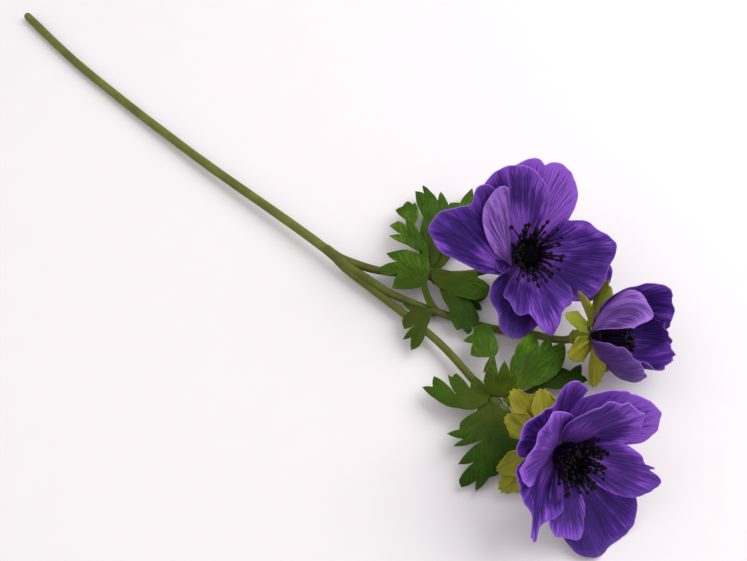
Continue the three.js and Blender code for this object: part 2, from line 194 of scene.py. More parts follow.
# ---- Materials ----
class Value:
    """A number or colour that varies over a surface. Arithmetic on it adds Math nodes."""

    def __init__(self, shader, socket):
        self.shader, self.socket = shader, socket

    def math(self, operation, *others, **settings):
        inputs = dict(enumerate([self, *others]))
        return self.shader.node("Math", inputs, operation=operation, **settings)

    def __add__(self, other): return self.math("ADD", other)
    def __sub__(self, other): return self.math("SUBTRACT", other)
    def __mul__(self, other): return self.math("MULTIPLY", other)
    def __rsub__(self, other): return self * -1 + other
    def clamp(self): return self.math("ADD", 0, use_clamp=True)

    def ease(self, low, high, start=0.0, end=1.0):
        """Goes smoothly from start to end as the value goes from low to high."""
        inputs = {0: self, 1: low, 2: high, 3: start, 4: end}
        return self.shader.node("MapRange", inputs, interpolation_type="SMOOTHSTEP")


class Shader:
    """One material and its nodes."""

    def __init__(self, name):
        self.material = bpy.data.materials.new(name)
        self.material.use_nodes = True
        self.tree = self.material.node_tree
        self.tree.nodes.clear()

    def feed(self, socket, value):
        """Links a value to an input, or sets the input to a plain number or colour."""
        if isinstance(value, Value):
            self.tree.links.new(value.socket, socket)
        else:
            socket.default_value = (*value, 1) if isinstance(value, tuple) else value

    def node(self, kind, inputs=None, output=0, **settings):
        """Adds a node: its settings first, then the values or links of its inputs."""
        node = self.tree.nodes.new("ShaderNode" + kind)
        for name, value in settings.items():
            setattr(node, name, value)
        for name, value in (inputs or {}).items():
            self.feed(node.inputs[name], value)
        return Value(self, node.outputs[output])

    def blend(self, factor, a, b):
        """Colour a, going to colour b as the factor goes from 0 to 1."""
        node = self.tree.nodes.new("ShaderNodeMix")
        node.data_type = "RGBA"
        for index, value in ((0, factor), (6, a), (7, b)):
            self.feed(node.inputs[index], value)
        return Value(self, node.outputs[2])

    def attribute(self, name):
        return self.node("Attribute", output="Fac", attribute_name=name)

    def point(self, x, y, z):
        return self.node("CombineXYZ", {0: x, 1: y, 2: z})

    def noise(self, at, scale, detail, roughness=0.5):
        return self.node("TexNoise", {"Vector": at, "Scale": scale, "Detail": detail, "Roughness": roughness})

    def flat_place(self):
        """The piece's own flat coordinates, across and along."""
        apart = self.tree.nodes.new("ShaderNodeSeparateXYZ")
        flat = self.node("UVMap", uv_map="UVMap")
        self.tree.links.new(flat.socket, apart.inputs[0])
        return Value(self, apart.outputs[0]), Value(self, apart.outputs[1])

    def object_place(self):
        return self.node("TexCoord", output="Object")

    def finish(self, colour, roughness, bump, strength, distance, specular, through=0.0):
        """Ends in a plain surface. through lets that share of light pass, as thin cloth does."""
        normal = self.node("Bump", {"Strength": strength, "Distance": distance, "Height": bump})
        surface = self.node("BsdfPrincipled", {"Base Color": colour, "Roughness": roughness,
                                               "Specular IOR Level": specular, "Normal": normal})
        if through:
            glow = self.node("BsdfTranslucent", {"Color": colour, "Normal": normal})
            surface = self.node("MixShader", {0: through, 1: surface, 2: glow})
        end = self.tree.nodes.new("ShaderNodeOutputMaterial")
        self.tree.links.new(surface.socket, end.inputs[0])
        return self.material


# Violets from the deepest to the pale cut edge, and the colour of the veins.
DEEP_VIOLET = (0.036, 0.010, 0.150)
VIOLET = (0.155, 0.040, 0.480)
LILAC = (0.385, 0.135, 0.780)
PALE_LILAC = (0.520, 0.270, 0.860)
VEIN = (0.020, 0.005, 0.085)


def petal_material(name, base, light, dark, roughness):
    """Veins that fan from the foot and blur into streaks, over a ground that varies in broad patches."""
    sh = Shader(name)
    u, v = sh.flat_place()
    s = u * 2 - 1
    seed, tone_and_painted_light, edge = (sh.attribute(name) for name in ("seed", "tone_and_painted_light", "edge"))
    broad = sh.noise(sh.point(s * 1.5, v * 2.2, seed), 1.0, 2.0)
    streaks = sh.noise(sh.point(s * 15, v * 1.8, seed + 3.1), 1.0, 4.0, 0.62)
    fine = sh.noise(sh.point(s * 70, v * 5.0, seed + 7.7), 1.0, 2.0, 0.6)
    wander = sh.noise(sh.point(s * 5, v * 1.8, seed + 5.3), 1.0, 2.0)
    thin = sh.noise(sh.point(s * 9, v * 3.0, seed + 9.3), 1.0, 2.0)
    wide = (s * 9 + (wander - 0.5) * 1.6).math("PINGPONG", 0.5)
    narrow = (s * 18 + (thin - 0.5) * 2).math("PINGPONG", 0.5)
    veins = (1 - wide * 9).clamp() * v.ease(0.0, 0.15) + (1 - narrow * 4.5).clamp() * v.ease(0.3, 0.5) * 0.8
    veins = veins.clamp() * edge.ease(0.8, 6.0) * streaks.ease(0.66, 0.48)
    middle = v.ease(0.3, 0.7) * edge.ease(2.0, 10.0)
    # the tone read here is partly each petal's own paleness and partly painted light and shade: paler for
    # petals in the light, darker for petals in shade
    patch = (broad - 0.5) * 2.4 + tone_and_painted_light * 0.35 + 0.15 - middle * 0.35
    patch = patch + (streaks - 0.5) * 1.8 + (fine - 0.5) * 1.2
    colour = sh.blend((patch + 0.5).clamp(), dark, base)
    colour = sh.blend((patch - 0.05).clamp() * 1.5, colour, light)
    colour = sh.blend(v.ease(0.5, 0.08) * 0.7, colour, light)
    # a high tone also paints the petal towards lilac, as painted light on the petals in the light
    colour = sh.blend((tone_and_painted_light * 0.3).clamp(), colour, light)
    colour = sh.blend(edge.ease(4.0, 0.0) * 0.15, colour, light)
    colour = sh.blend(veins * 0.75, colour, VEIN)
    colour = sh.blend(edge.ease(0.4, 0.15) * 0.35, colour, PALE_LILAC)
    height = streaks * 0.8 + fine * 0.5 - veins * 0.5
    return sh.finish(colour, roughness, height, 0.6, 0.0005, specular=0.2, through=0.15)


def leaf_material(name, green, dark, light, stalk, roughness, strength, specular):
    """Mottled green with fine lines along the leaf, light edges, and ribs and foot in the stalk's colour."""
    sh = Shader(name)
    place = sh.object_place()
    tone_and_painted_light, rib, edge, reach, ray = (sh.attribute(name) for name in ("tone_and_painted_light", "rib", "edge", "reach", "ray"))
    broad = sh.noise(place, 60.0, 3.0)
    fine = sh.noise(place, 700.0, 3.0, 0.65)
    lines = sh.noise(sh.point(ray * 45, reach * 0.14, tone_and_painted_light), 1.0, 3.0, 0.6)
    # the tone added here is partly the leaf's own green and partly painted shade: darker for leaves lying in
    # shadow, paler for lit ones
    level = (broad - 0.5) * 1.3 + tone_and_painted_light + (fine - 0.5) * 0.5 + (lines - 0.5) * 1.1 + 0.5
    colour = sh.blend(level.clamp(), dark, green)
    colour = sh.blend((level - 0.75).clamp() * 1.4, colour, light)
    colour = sh.blend(reach.ease(26.0, 3.0) * 0.6, colour, stalk)
    colour = sh.blend(rib.ease(0.8, 0.1) * 0.25, colour, stalk)
    colour = sh.blend(edge.ease(0.45, 0.0) * 0.35, colour, light)
    height = lines * 0.6 + fine * 0.3 - rib.ease(0.7, 0.0) * 0.8
    return sh.finish(colour, roughness, height, strength, 0.0003, specular=specular, through=0.1)


def bract_material(name, low, high, roughness):
    """Ribbed yellow-green, greener on some bracts and at the foot of each."""
    sh = Shader(name)
    u, v = sh.flat_place()
    place = sh.object_place()
    seed = sh.attribute("seed")
    ribs = sh.noise(sh.point(u * 10, v * 1.2, seed), 1.0, 3.0, 0.6)
    green = sh.noise(sh.point(seed * 3.3, 0.5, 0.5), 1.0, 1.0).ease(0.45, 0.6)
    patches = sh.noise(place, 120.0, 3.0)
    colour = sh.blend(((ribs - 0.5) * 1.2 + (patches - 0.5) * 1.3 + 0.5).clamp(), low, high)
    colour = sh.blend(green * 0.5, colour, (0.190, 0.270, 0.020))
    colour = sh.blend(v.ease(0.4, 0.05) * 0.5, colour, (0.150, 0.190, 0.014))
    colour = sh.blend((patches - 0.55).clamp() * 1.2, colour, (0.13, 0.17, 0.010))
    return sh.finish(colour, roughness, ribs, 0.4, 0.0004, specular=0.3, through=0.12)


def stem_material(name, low, high):
    """Streaked green with brownish patches."""
    sh = Shader(name)
    u, v = sh.flat_place()
    place = sh.object_place()
    lines = sh.noise(sh.point(u * 26, v * 9, 0.0), 1.0, 4.0, 0.6)
    patches = sh.noise(place, 90.0, 3.0)
    grain = sh.noise(place, 1500.0, 2.0)
    level = (lines - 0.5) * 0.8 + (patches - 0.5) * 1.3 + 0.5
    colour = sh.blend(level.clamp(), low, high)
    colour = sh.blend((patches - 0.56).clamp() * 1.2, colour, (0.16, 0.14, 0.035))
    return sh.finish(colour, 0.5, lines * 0.6 + grain * 0.4, 0.3, 0.0003, specular=0.2)


def stamen_material():
    """Nearly black violet filaments with darker, dusty anthers."""
    sh = Shader("stamen")
    place = sh.object_place()
    dust = sh.noise(place, 2600.0, 2.0)
    tips = sh.attribute("anther")
    colour = sh.blend(tips, (0.018, 0.005, 0.036), (0.003, 0.0015, 0.004))
    colour = sh.blend(dust.ease(0.5, 0.8) * tips * 0.5, colour, (0.012, 0.006, 0.008))
    return sh.finish(colour, 0.5, dust, 0.5, 0.0002, specular=0.15)


def centre_material():
    """Fuzzy black."""
    sh = Shader("centre")
    fuzz = sh.noise(sh.object_place(), 2200.0, 3.0)
    colour = sh.blend(fuzz, (0.0008, 0.0008, 0.001), (0.002, 0.002, 0.0025))
    return sh.finish(colour, 0.8, fuzz, 0.6, 0.0004, specular=0.1)


# Sheets have a front and a back.
PETAL = [
    petal_material("petal_front", VIOLET, LILAC, DEEP_VIOLET, 0.6),
    petal_material("petal_back", (0.300, 0.125, 0.580), (0.450, 0.210, 0.780), (0.105, 0.038, 0.240), 0.62),
]
LEAF = [
    leaf_material("leaf_front", (0.054, 0.130, 0.006), (0.014, 0.042, 0.002), (0.150, 0.270, 0.014),
                  (0.066, 0.078, 0.006), 0.55, 0.35, 0.1),
    leaf_material("leaf_back", (0.080, 0.115, 0.024), (0.040, 0.062, 0.012), (0.120, 0.170, 0.034),
                  (0.115, 0.120, 0.030), 0.6, 0.3, 0.25),
]
BRACT = [
    bract_material("bract_front", (0.160, 0.155, 0.007), (0.430, 0.400, 0.020), 0.55),
    bract_material("bract_back", (0.210, 0.195, 0.012), (0.480, 0.440, 0.035), 0.6),
]
STEM = stem_material("stem", (0.060, 0.076, 0.009), (0.170, 0.194, 0.034))
BRANCH = stem_material("branch", (0.044, 0.058, 0.005), (0.125, 0.145, 0.020))
JOINT = stem_material("joint", (0.030, 0.044, 0.004), (0.085, 0.100, 0.012))
STAMEN = stamen_material()
CENTRE = centre_material()


# ---- Pieces ----
TABLE_EASE = 0.05  # how gradually a sheet lifts off the table, in millimetres
CAP_ROWS = 3  # rows of a rod's grid that round each of its ends
LUMP_LENGTH = 7


def dress(piece, materials):
    for material in materials:
        piece.data.materials.append(material)


def look(piece, node, slot, *materials):
    """A finished piece: in its materials, standing for a node of the frame."""
    dress(piece, materials)
    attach(piece, "root")
    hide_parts(node)


def only(piece):
    """Selects a piece and nothing else."""
    bpy.ops.object.select_all(action="DESELECT")
    piece.select_set(True)
    bpy.context.view_layer.objects.active = piece


def in_edit(piece, *steps):
    """Runs edit-mode operators on all of a piece."""
    only(piece)
    bpy.ops.object.mode_set(mode="EDIT")
    bpy.ops.mesh.select_all(action="SELECT")
    for step in steps:
        step()
    bpy.ops.object.mode_set(mode="OBJECT")


def corners(piece):
    """The places of a piece's vertices."""
    flat = np.empty(len(piece.data.vertices) * 3)
    piece.data.vertices.foreach_get("co", flat)
    return flat.reshape(-1, 3)


def above_table(places, gap):
    """Points that would sink into the table lie on it instead, with a soft change between the two."""
    height = places[:, 2] - gap
    places[:, 2] = gap + TABLE_EASE * np.logaddexp(0, height / TABLE_EASE)
    return places


def put(piece, places):
    """Moves a piece's vertices to places in millimetres."""
    piece.data.vertices.foreach_set("co", (ORIGIN + places * MM).ravel())
    piece.data.update()


def mark(piece, name, values):
    """Gives each vertex a number that the materials read."""
    attribute = piece.data.attributes.new(name, "FLOAT", "POINT")
    attribute.data.foreach_set("value", np.broadcast_to(values, len(piece.data.vertices)).astype(np.float32))


def meshed(name, places, faces):
    """A piece from points in millimetres and the faces between them."""
    mesh = bpy.data.meshes.new(name)
    mesh.from_pydata((ORIGIN + places * MM).tolist(), [], faces)
    piece = bpy.data.objects.new(name, mesh)
    bpy.context.scene.collection.objects.link(piece)
    return piece


def grid(name, rows, columns):
    """A flat grid, and the across (-1 to 1) and along (0 to 1) of its vertices."""
    bpy.ops.object.select_all(action="DESELECT")
    bpy.ops.mesh.primitive_grid_add(x_subdivisions=columns, y_subdivisions=rows, size=2)
    piece = bpy.context.object
    piece.name = piece.data.name = name
    flat = corners(piece)
    return piece, flat[:, 0], (flat[:, 1] + 1) / 2


def thicken(piece, thickness, front, back):
    """Gives a sheet its thickness, and a material for each side."""
    dress(piece, [front, back])
    only(piece)
    bpy.ops.object.modifier_add(type="SOLIDIFY")
    wall = piece.modifiers[-1]
    wall.thickness = thickness * MM
    wall.offset = 0
    wall.material_offset = 1
    bpy.ops.object.modifier_apply(modifier=wall.name)
    bpy.ops.object.shade_smooth()


def weld(piece):
    """Closes the seams and poles of a grid that was wrapped round, and turns its faces outwards."""
    in_edit(piece, lambda: bpy.ops.mesh.remove_doubles(threshold=0.00001),
            lambda: bpy.ops.mesh.dissolve_degenerate(threshold=0.000001),
            lambda: bpy.ops.mesh.normals_make_consistent(inside=False))
    only(piece)
    bpy.ops.object.shade_smooth_by_angle(angle=math.radians(50))


def turned(name, stand, profile, sides, rows, wave=0.0, waves=0):
    """A grid wrapped round a frame's axis. The profile lists (radius, height), up from its lower end, and
    waves flutes it by the share wave."""
    piece, across, up = grid(name, rows, sides)
    steps = np.linspace(0, 1, len(profile))
    radius = np.interp(up, steps, [r for r, h in profile])
    height = np.interp(up, steps, [h for r, h in profile])
    radius = radius * (1 + wave * np.cos(np.pi * across * waves))
    put(piece, stand.around(180 * across, radius, height))
    weld(piece)
    return piece


def rod(name, line, radii, sides, lumps, ends):
    """A grid wrapped round a line, with radii spaced evenly from end to end. lumps varies them by that
    share, and the ends are rounded over that many radii."""
    rows = len(line) - 1
    piece, across, up = grid(name, rows, sides)
    lengths = np.concatenate([[0], np.cumsum(np.linalg.norm(np.diff(line, axis=0), axis=1))])
    cap = np.mean(radii) * ends / lengths[-1]
    inner = np.clip((up - CAP_ROWS / rows) / (1 - 2 * CAP_ROWS / rows), 0, 1)
    start = np.clip(up * rows / CAP_ROWS, 0, 1)
    stop = np.clip((1 - up) * rows / CAP_ROWS, 0, 1)
    place = cap * np.where(start < 1, 1 - np.cos(start * np.pi / 2), 1) + inner * (1 - 2 * cap)
    place = place + cap * np.where(stop < 1, np.cos(stop * np.pi / 2), 0)
    shrink = np.where(start < 1, np.sin(start * np.pi / 2), 1)
    shrink = shrink * np.where(stop < 1, np.sin(stop * np.pi / 2), 1)
    share = lengths / lengths[-1]
    centre = np.stack([np.interp(place, share, line[:, k]) for k in range(3)], -1)
    slope = np.gradient(line, lengths, axis=0)
    ahead = np.stack([np.interp(place, share, slope[:, k]) for k in range(3)], -1)
    ahead /= np.linalg.norm(ahead, axis=1)[:, None]
    level = np.cross(ahead, [0, 0, 1.0])
    level /= np.linalg.norm(level, axis=1)[:, None]
    above = np.cross(level, ahead)
    radius = np.interp(place, np.linspace(0, 1, len(radii)), radii)
    thick = radius * shrink * (1 + lumps * rolling(5, place * lengths[-1] / LUMP_LENGTH, across * 2 + 3))
    angle = np.pi * across
    put(piece, centre + level * (np.cos(angle) * thick)[:, None] + above * (np.sin(angle) * thick)[:, None])
    weld(piece)
    return piece


# ---- Flowers ----
OUTER = 0.0
INNER = 1.1
PETAL_THICKNESS = 0.38
OUTLINE_POWER = 2.6
OUTLINE_ROOT = 0.45
FOOT_SHARE = 0.035  # a petal starts this share of its length out, where it is a few millimetres wide
CREASE_WIDTH = 2.2

# Petals are listed from the outer layer in, with angles in degrees: petal_places says what each entry does.
# A bract is its azimuth, how far out it reaches, how far it opens from the flower's axis, and its twist.
# hug is how far a flower's bracts follow its calyx before they open.
# A petal's tone is partly its own paleness and partly painted light and shade, set petal by petal: the low
# petals are darkened as if shaded, and the lit ones are made paler.
FLOWERS = {
    "upper": {
        "frame": Frame((80, 57.5, 24), -43, 55),
        "petals": {
            "low_right": dict(azimuth=-28, length=41, spread=40, tone_and_painted_light=0.2, opens=(80, 84), cups=(10, 10),
                rim=((-1, 0.9), (-0.5, 0.85), (-0.3, 0.92), (0, 0.98), (0.3, 1.03), (1, 1))),
            "low_left": dict(azimuth=255, length=42, spread=42, tone_and_painted_light=-1.2, opens=(73, 72), cups=(14, 10),
                rim=((-1, 1.8), (-0.94, 1.2), (-0.86, 0.95), (-0.7, 0.85), (-0.38, 0.79), (-0.22, 0.95),
                     (0.05, 1.01), (0.25, 0.95), (0.45, 0.9), (1, 1))),
            "top_right": dict(azimuth=78, length=46, spread=46, tone_and_painted_light=2.5, opens=(74, 70), cups=(12, 22),
                rim=((-1, 2.1), (-0.94, 1.35), (-0.85, 1.04), (-0.6, 0.97), (-0.2, 1), (-0.06, 0.99),
                     (0, 0.96), (0.06, 1), (0.15, 1.03), (0.4, 1.01), (1, 1))),
            "right": dict(azimuth=-9, length=41.5, spread=52, tone_and_painted_light=-0.5, opens=(67, 64), cups=(15, 15),
                layer=INNER,
                rim=((-1, 1.3), (-0.75, 1.05), (-0.35, 0.98), (-0.05, 0.98), (0.05, 1.01), (0.27, 1.01),
                     (0.5, 0.92), (0.7, 0.98), (0.85, 1.05), (1, 2.3))),
            "top": dict(azimuth=103, length=46.5, spread=41, tone_and_painted_light=0.25, opens=(63, 60), cups=(20, 15),
                layer=INNER,
                rim=((-1, 1.3), (-0.85, 0.93), (-0.65, 0.89), (-0.45, 0.93), (-0.1, 0.99), (0.05, 1.03),
                     (0.35, 1.01), (1, 1))),
            # This petal has painted light on one side, on top of its tone.
            "left": dict(azimuth=140, at=225, foot=11.3, length=53, spread=80, tone_and_painted_light=-0.6, painted_light_side=0.9,
                opens=(58, 62), cups=(25, 10), layer=INNER, fold=(-38.5, 170, -1),
                claw=dict(azimuth=182, length=16, spread=60, opens=(66, 60), layer=0.5, ruffle=0.3),
                rim=((-1, 2.9), (-0.93, 1.14), (-0.83, 1.1), (-0.71, 1.07), (-0.57, 1.02), (-0.48, 0.87),
                     (-0.42, 0.88), (-0.36, 0.95), (-0.28, 0.95), (-0.19, 0.84), (-0.09, 0.94), (0, 1.03),
                     (0.08, 1.06), (0.13, 1.04), (0.18, 0.93), (0.24, 0.83), (0.28, 0.62), (0.37, 0.4),
                     (0.6, 0.15), (1, 0.1))),
            "bottom": dict(azimuth=280, length=38, spread=48, tone_and_painted_light=-0.4, opens=(58, 62), cups=(10, 15),
                layer=INNER, ruffle=2,
                waves=((-1, 0), (-0.5, -1), (-0.25, 1.5), (0, -1.5), (0.3, 1.5), (0.6, -1), (1, 0)),
                rim=((-1, 1.5), (-0.93, 1.3), (-0.72, 0.9), (-0.5, 0.87), (-0.3, 0.83), (-0.2, 0.9),
                     (-0.12, 1.02), (0, 1.09), (0.15, 1), (0.3, 0.89), (0.55, 0.94), (0.75, 0.96),
                     (0.9, 1.03), (1, 1))),
        },
        "stamens": dict(count=90, reach=16.5, height=15, lean=0, bias=0.06, tucked=(120, 230), scatter=0.3),
        "bracts": [(20, 19, 80, 0), (80, 19, 80, 0), (140, 17, 90, 0), (200, 17, 90, 0), (260, 18, 84, 0),
                   (320, 19, 80, 0)],
    },
    "lower": {
        "frame": Frame((154.6, -12.8, 20.8), -21, 41),
        "petals": {
            "high_left": dict(azimuth=107, length=46, spread=46, tone_and_painted_light=0.6, opens=(68, 46), cups=(20, 20),
                rim=((-1, 1), (-0.75, 1), (-0.57, 1.02), (-0.43, 1.06), (-0.31, 1), (-0.2, 0.8),
                     (0.08, 0.89), (0.28, 1.05), (0.45, 1.03), (1, 1))),
            "far_right": dict(azimuth=36, length=45, spread=48, tone_and_painted_light=1.6, opens=(61, 52), cups=(15, 15),
                rim=((-1, 1.4), (-0.92, 1.33), (-0.74, 1.08), (-0.4, 1.03), (-0.2, 0.98), (0, 0.93),
                     (0.2, 0.91), (0.5, 0.93), (0.65, 0.9), (1, 0.9))),
            "low": dict(azimuth=277, length=45, spread=44, tone_and_painted_light=-1.5, opens=(66, 66), cups=(20, 20)),
            "low_left": dict(azimuth=197, length=43, spread=47, tone_and_painted_light=-0.2, opens=(58, 36), cups=(20, 20),
                rim=((-1, 1.3), (-0.8, 1.25), (-0.53, 0.89), (-0.22, 0.84), (-0.1, 0.9), (-0.04, 1.06),
                     (0, 0.99), (0.04, 1.07), (0.1, 0.84), (0.2, 0.78), (0.4, 0.7), (1, 0.6))),
            "inner_top": dict(azimuth=52, length=40, spread=42, tone_and_painted_light=0.2, opens=(50, 44), cups=(25, 25),
                layer=INNER,
                rim=((-1, 1), (-0.55, 1.02), (-0.3, 1.06), (-0.08, 1.07), (0.15, 1.12), (0.4, 1.19),
                     (0.65, 1.24), (0.85, 1.12), (1, 1))),
            "right": dict(azimuth=329, length=40, spread=35, tone_and_painted_light=0.3, opens=(56, 54), cups=(20, 20),
                layer=INNER,
                rim=((-1, 0.9), (-0.57, 0.89), (-0.33, 0.95), (-0.1, 1), (0.07, 0.98), (0.16, 0.88),
                     (0.21, 0.98), (0.25, 0.86), (0.47, 0.84), (0.75, 0.8), (1, 0.9))),
            "inner_low": dict(azimuth=243, length=36, spread=30, tone_and_painted_light=0.1, opens=(54, 58), cups=(30, 20),
                layer=INNER,
                rim=((-1, 1.1), (-0.65, 1.05), (-0.07, 0.96), (0.17, 1), (0.4, 0.94), (0.52, 0.85),
                     (1, 0.9))),
            "inner_left": dict(azimuth=132, length=39, spread=48, tone_and_painted_light=0.9, opens=(54, 48), cups=(20, 20),
                layer=INNER,
                rim=((-1, 1.2), (-0.9, 1.06), (-0.53, 1.13), (-0.4, 1.2), (-0.27, 1.07), (-0.07, 1),
                     (0.13, 1.05), (0.3, 1), (0.87, 0.98), (1, 1.3))),
        },
        "stamens": dict(count=150, reach=12.6, height=16, lean=320, bias=0.12, scatter=0.45, head=0.8),
        "bracts": [(30, 22, 95, 0), (82, 26, 98, 0), (106, 31, 108, 0), (128, 26, 98, 0), (186, 27, 97, 0),
                   (205, 31, 96, 20), (245, 17, 90, 0), (305, 16, 86, 0)],
    },
    "small": {
        "frame": Frame((131, 46.6, 17.2), 35, 29),
        "petals": {
            "front": dict(azimuth=68, length=40, spread=41, tone_and_painted_light=0.0, opens=(60, -8), tip=-60,
                tip_from=0.62, cups=(42, 50),
                rim=((-1, 0.9), (-0.9, 0.86), (-0.46, 0.74), (-0.04, 0.93), (0.13, 1.05), (0.3, 1.08),
                     (0.5, 1.03), (0.77, 0.98), (1, 0.9))),
            "low": dict(azimuth=176, length=36, spread=49, tone_and_painted_light=-1.6, opens=(88, -12), cups=(42, 34),
                ragged=0.05),
            "back": dict(azimuth=300, length=39, spread=44, tone_and_painted_light=-1.0, opens=(56, -10), cups=(30, 30),
                ragged=0.07, ruffle=3),
            "top": dict(azimuth=349, length=40.5, spread=47, tone_and_painted_light=-0.2, opens=(57, -20), cups=(30, 30),
                layer=INNER, ragged=0.08, ruffle=4),
            "back_low": dict(azimuth=232, length=38, spread=42, tone_and_painted_light=-1.0, opens=(54, -8), cups=(30, 30),
                layer=INNER, ragged=0.07, ruffle=3),
        },
        "stamens": dict(count=48, reach=9.5, height=16, lean=0, bias=0),
        "hug": 10.0,
        "bracts": [(5, 30, 76, 55), (45, 22, 98, 30), (92, 22, 114, 10), (140, 25, 112, 0),
                   (188, 25, 92, -50), (215, 18, 70, -50), (290, 13, 86, 0)],
    },
}


def folded(x, y, lift, ray, degrees, radius):
    """Folds flat stock along a ray from the foot: what lies to the right of it, or to the left if the radius
    is negative."""
    a = math.radians(ray)
    n = np.array([math.cos(a), -math.sin(a)]) * np.sign(radius)
    radius, full = abs(radius), math.radians(degrees)
    past = np.maximum(x * n[0] + y * n[1], 0)
    curled = np.minimum(past / radius, full)
    rest = past - curled * radius
    kept = radius * np.sin(curled) + rest * math.cos(full) - past
    return x + n[0] * kept, y + n[1] * kept, lift + radius * (1 - np.cos(curled)) + rest * math.sin(full)


def petal_places(flower, seed, across, share, azimuth, length, spread, opens, layer=OUTER, at=None, foot=2.2,
                 ruffle=2.2, ragged=0.025, rim=((-1, 1), (0, 1), (1, 1)), fold=None, waves=(), **shape):
    """Where a petal's points are, from -1 to 1 across it and 0 to 1 along it. spread is half its fan. rim
    scales its reach at places across it, waves lifts the rim at places across it, ruffle lifts it at random
    and ragged nibbles it. Its foot stands out from the axis at its azimuth, or at another one."""
    half = math.radians(spread)
    reach = length * np.maximum(1 - np.abs(across) ** OUTLINE_POWER, 0.01) ** OUTLINE_ROOT
    line = smooth_line(rim, 12)
    reach = reach * np.interp(across, line[:, 0], line[:, 1])
    reach = reach * (1 + ragged * rolling(seed, across * 4 + 9, 0 * across)
                     + ragged / 3 * rolling(seed + 1, across * 13 + 30, 0 * across))
    x, y = share * reach * np.sin(across * half), share * reach * np.cos(across * half)
    hills = rolling(seed + 2, across * 2.6 + 8, share * 1.2)
    hills = hills + 0.5 * rolling(seed + 3, across * 6 + 8, share * 2)
    pleats = rolling(seed + 4, across * 11 + 20, share * 1.1)
    crease = np.exp(-((x / CREASE_WIDTH) ** 2))
    lift = ruffle * share**3 * hills + 0.35 * share * pleats - 0.5 * crease * share
    if waves:
        line = smooth_line(waves, 12)
        lift = lift + np.interp(across, line[:, 0], line[:, 1]) * share**2.5
    if fold:
        x, y, lift = folded(x, y, lift, *fold)
    base = flower.around(azimuth if at is None else at, foot, layer)
    bend = Bend(base, flower.axis, flower.outwards(azimuth), length, 1.44 * length * math.sin(half),
                opens, **shape)
    return bend(x, y, lift), (1 - share) * reach


def joined(name, pieces):
    """One piece from several."""
    only(pieces[0])
    for piece in pieces[1:]:
        piece.select_set(True)
    bpy.ops.object.join()
    piece = bpy.context.object
    piece.name = piece.data.name = name
    return piece


def petal(name, flower, seed, tone_and_painted_light=0.0, claw=None, painted_light_side=0.0, **shape):
    """A petal is cut as a fan: it runs from its foot to its rim, and across from -1 to 1. A petal whose foot
    stands away from the middle has a claw that reaches in to it. Its tone makes it paler or darker, partly as
    its own colour and partly as painted light and shade, and one side of it can be given painted light
    besides."""
    if claw:
        return joined(name, [petal(name, flower, seed, tone_and_painted_light, painted_light_side=painted_light_side, **shape),
                             petal(name + "_claw", flower, seed + 1, tone_and_painted_light, **claw)])
    piece, across, up = grid(name, 56, 72)
    places, edge = petal_places(flower, seed, -across, mix(FOOT_SHARE, 1, up), **shape)
    put(piece, above_table(places, PETAL_THICKNESS / 2))
    mark(piece, "edge", edge)
    mark(piece, "seed", seed * 1.37)
    # painted light: one side of the petal is made paler, as if more light fell on it, on top of a tone that
    # is partly painted light and shade
    mark(piece, "tone_and_painted_light", tone_and_painted_light + painted_light_side * smoothstep(0.05, -0.3, -across))
    thicken(piece, PETAL_THICKNESS, *PETAL)
    return piece


# ---- The middle of a flower ----
HUB_RADIUS, HUB_HEIGHT = 4.8, 6.0
CALYX_RADIUS, CALYX_HEIGHT, CALYX_TOP = 5.0, 7.3, -0.75
FILAMENT_RADIUS = 0.42
ANTHER_RADIUS = 1.0
TUCK = 0.55  # how far a tucked filament reaches, as a share of the others
DOME_BASE = HUB_HEIGHT + GAP
DOME_RADIUS, DOME_RISE = 6.5, 5.4
DOME_SHARE = 0.95  # how far down the dome its bristles go
DOME_CORE = [(0, 0), (4.6, 0), (6.3, 1.2), (6.4, 2.6), (5.6, 4.4), (3.4, 6.0), (0, 6.6)]
BRISTLES, BRISTLE_RADIUS, BRISTLE_ROOT = 560, 0.3, 0.3
SPIRAL_STEP = 137.5  # the golden angle, which spaces bristles evenly


def take(piece):
    """The vertices and faces of a made piece, which is then removed."""
    points = corners(piece)
    faces = [list(face.vertices) for face in piece.data.polygons]
    bpy.data.objects.remove(piece)
    return points, faces


def gathered(name, parts):
    """One piece from many copies: parts lists (vertices in millimetres, faces)."""
    points, faces, count = [], [], 0
    for vertices, sides in parts:
        points.append(vertices)
        faces += [[count + i for i in side] for side in sides]
        count += len(vertices)
    piece = meshed(name, np.vstack(points), faces)
    only(piece)
    bpy.ops.object.shade_smooth()
    return piece


def filament_shape():
    """One upright filament, a unit long and a unit in radius."""
    bpy.ops.mesh.primitive_cylinder_add(vertices=5, radius=1, depth=1, location=(0, 0, 0.5))
    piece = bpy.context.object
    for height in np.linspace(0, 1, 7)[1:-1]:
        in_edit(piece, lambda: bpy.ops.mesh.bisect(plane_co=(0, 0, height), plane_no=(0, 0, 1)))
    bpy.ops.object.transform_apply(location=True)
    return take(piece)


def anther_shape():
    """One pinhead anther, a little longer than it is wide."""
    bpy.ops.mesh.primitive_uv_sphere_add(segments=8, ring_count=6, radius=1)
    piece = bpy.context.object
    piece.scale = (1, 1, 1.2)
    bpy.ops.object.transform_apply(scale=True)
    return take(piece)


def bristle_shape():
    """One upright bristle, a unit long and a unit in radius at its root."""
    bpy.ops.mesh.primitive_cone_add(vertices=4, radius1=1, depth=1, location=(0, 0, 0.5))
    bpy.ops.object.transform_apply(location=True)
    return take(bpy.context.object)


FILAMENT = filament_shape()
ANTHER = anther_shape()
BRISTLE = bristle_shape()


def across_of(direction):
    """Two directions across a third."""
    level = unit_vector(np.cross(direction, (0.3, 0.2, 1.0)))
    return level, np.cross(direction, level)


